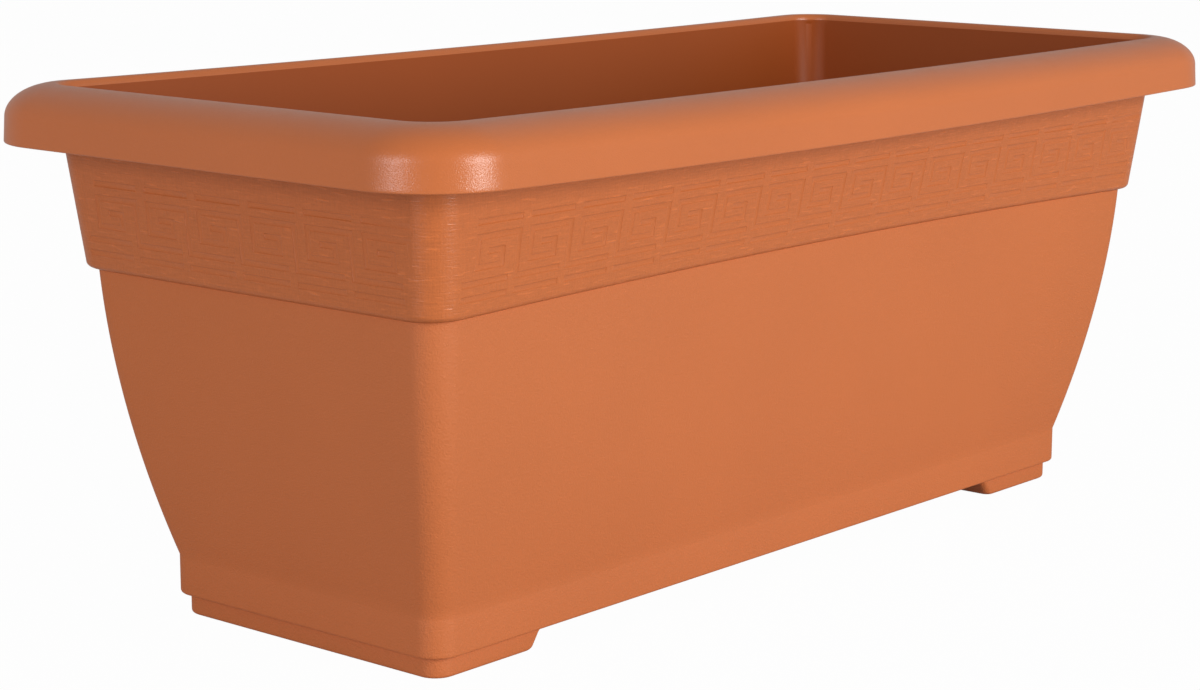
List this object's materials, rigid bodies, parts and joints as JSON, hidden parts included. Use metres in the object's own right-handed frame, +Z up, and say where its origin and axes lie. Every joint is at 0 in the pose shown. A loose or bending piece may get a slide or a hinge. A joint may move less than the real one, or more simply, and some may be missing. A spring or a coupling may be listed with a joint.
{
  "type": "window box planter",
  "caption": "Long rectangular trough planter with a rolled rim, a Greek key frieze, curved walls, end feet, a slotted drainage floor and push-in drain plugs.",
  "frame": {"origin": "middle of the footprint, at the height of the two feet's undersides", "axes": "+X along the trough's length, +Y across its width, +Z up; the long side with the nearer view is -Y"},
  "size_m": [0.8, 0.375, 0.317],
  "materials": {
    "terracotta": "moulded terracotta polypropylene, satin rim over fine-grained matte walls",
    "grid_plastic": "moulded brown polypropylene, matte",
    "plug_plastic": "moulded terracotta polyethylene, matte"
  },
  "bodies": {
    "trough": {"trough": "terracotta"},
    "grid_left": {"drain_grid_left": "grid_plastic"},
    "grid_right": {"drain_grid_right": "grid_plastic"},
    "plug_1": {"drain_plug_1": "plug_plastic"},
    "plug_2": {"drain_plug_2": "plug_plastic"},
    "plug_3": {"drain_plug_3": "plug_plastic"},
    "plug_4": {"drain_plug_4": "plug_plastic"}
  },
  "joints": [
    {"name": "grid_left_lift", "type": "slide", "parent": "trough", "child": "grid_left", "axis": [0, 0, 1], "range_m": [0, 0.32]},
    {"name": "grid_right_lift", "type": "slide", "parent": "trough", "child": "grid_right", "axis": [0, 0, 1], "range_m": [0, 0.32]},
    {"name": "plug_1_pull", "type": "slide", "parent": "trough", "child": "plug_1", "axis": [0, 0, -1], "range_m": [0, 0.025]},
    {"name": "plug_2_pull", "type": "slide", "parent": "trough", "child": "plug_2", "axis": [0, 0, -1], "range_m": [0, 0.025]},
    {"name": "plug_3_pull", "type": "slide", "parent": "trough", "child": "plug_3", "axis": [0, 0, -1], "range_m": [0, 0.025]},
    {"name": "plug_4_pull", "type": "slide", "parent": "trough", "child": "plug_4", "axis": [0, 0, -1], "range_m": [0, 0.025]}
  ]
}
